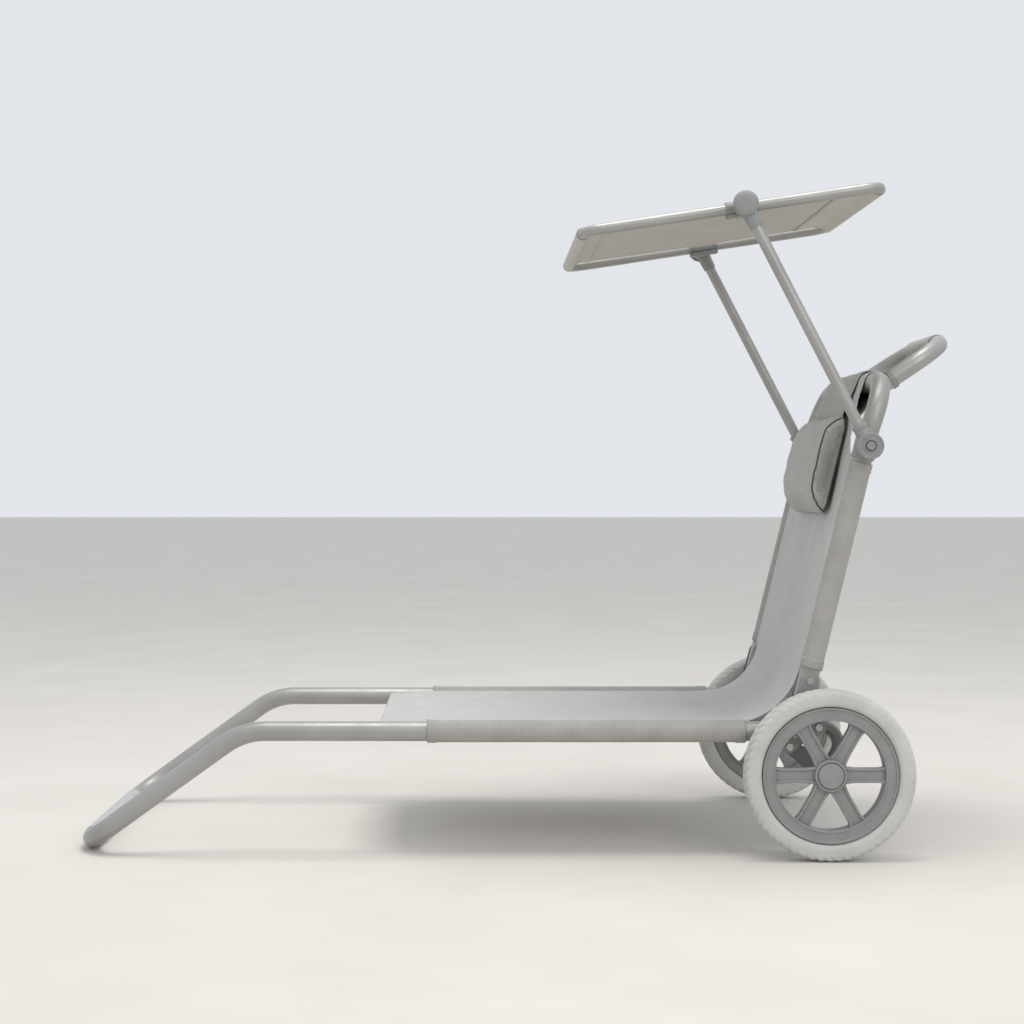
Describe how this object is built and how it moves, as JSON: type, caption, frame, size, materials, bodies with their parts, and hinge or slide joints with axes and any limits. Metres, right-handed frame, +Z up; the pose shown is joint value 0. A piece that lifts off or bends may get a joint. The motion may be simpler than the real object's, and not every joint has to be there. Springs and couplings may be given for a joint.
{
  "type": "beach cart",
  "caption": "Two-wheeled beach lounger cart: bent tube frame, mesh sling seat and back, headrest cushion, tilting sun canopy and pull handle.",
  "frame": {"origin": "on the ground, under the centre of the whole cart's bounding box", "axes": "+Z up, +X from the foot bar towards the wheels and handle, +Y towards the sitter's right side"},
  "size_m": [1.2775, 0.579, 0.9588],
  "materials": {
    "frame_tube": "satin warm-grey powder coat on bent aluminium tube",
    "bracket": "satin grey powder coat on pressed steel",
    "steel": "zinc-plated steel",
    "dark_plastic": "moulded nylon",
    "fitting": "grey moulded nylon",
    "rim": "mid-grey moulded plastic",
    "tyre": "light-grey foamed rubber with a hatched tread",
    "sling_mesh": "light-grey woven mesh",
    "sling_edge": "grey woven mesh sewn double",
    "pillow_cloth": "grey padded cloth",
    "canopy_cloth": "warm-grey woven cloth",
    "grip": "soft grey sleeve"
  },
  "bodies": {
    "back": {"back_frame": "frame_tube", "back_plugs": "dark_plastic", "hinge_plates_left": "bracket", "hinge_plates_right": "bracket", "fold_bolts": "steel", "plate_bolts": "steel", "axle_hoop_left": "bracket", "axle_hoop_right": "bracket", "axle_strut_left": "bracket", "axle_strut_right": "bracket", "axle_bosses": "bracket", "axle": "steel", "axle_clips": "steel", "wheel_spacers": "dark_plastic", "pivot_saddle_left": "fitting", "pivot_saddle_right": "fitting", "arm_bolts": "steel", "handle_tube": "frame_tube", "handle_collars": "frame_tube", "handle_grip": "grip", "back_sling": "sling_mesh", "back_tunnel_left": "sling_edge", "back_tunnel_right": "sling_edge", "back_top_wrap": "sling_edge", "pillow": "pillow_cloth", "pillow_flap": "pillow_cloth"},
    "seat": {"seat_frame": "frame_tube", "foot_grip": "grip", "rail_eye_left": "dark_plastic", "rail_eye_right": "dark_plastic", "seat_sling": "sling_mesh", "seat_tunnel_left": "sling_edge", "seat_tunnel_right": "sling_edge"},
    "wheel_left": {"rim_left": "rim", "tyre_left": "tyre", "hub_bush_left": "dark_plastic", "hub_cap_left": "rim"},
    "wheel_right": {"rim_right": "rim", "tyre_right": "tyre", "hub_bush_right": "dark_plastic", "hub_cap_right": "rim"},
    "canopy_arms": {"arm_disc_left": "fitting", "arm_disc_right": "fitting", "arm_tube_left": "frame_tube", "arm_tube_right": "frame_tube", "arm_head_left": "fitting", "arm_head_right": "fitting", "tilt_knob_left": "fitting", "tilt_knob_right": "fitting"},
    "canopy": {"canopy_frame": "frame_tube", "canopy_fabric": "canopy_cloth", "canopy_front_hem": "canopy_cloth", "canopy_rear_hem": "canopy_cloth", "canopy_clamp_left": "fitting", "canopy_clamp_right": "fitting", "clamp_rivets": "steel"}
  },
  "joints": [
    {"name": "seat_fold", "type": "hinge", "parent": "back", "child": "seat", "pos_m": [0.38373, 0, 0.1756], "axis": [0, 1, 0], "range_deg": [0, 56]},
    {"name": "wheel_left_spin", "type": "hinge", "parent": "back", "child": "wheel_left", "pos_m": [0.42413, -0.271, 0.12], "axis": [0, 1, 0], "continuous": true},
    {"name": "wheel_right_spin", "type": "hinge", "parent": "back", "child": "wheel_right", "pos_m": [0.42413, 0.271, 0.12], "axis": [0, 1, 0], "continuous": true},
    {"name": "canopy_swing", "type": "hinge", "parent": "back", "child": "canopy_arms", "pos_m": [0.48296, 0, 0.57959], "axis": [0, 1, 0], "range_deg": [-8, 70]},
    {"name": "canopy_tilt", "type": "hinge", "parent": "canopy_arms", "child": "canopy", "pos_m": [0.30785, 0, 0.91887], "axis": [0, 1, 0], "range_deg": [-30, 30]}
  ]
}
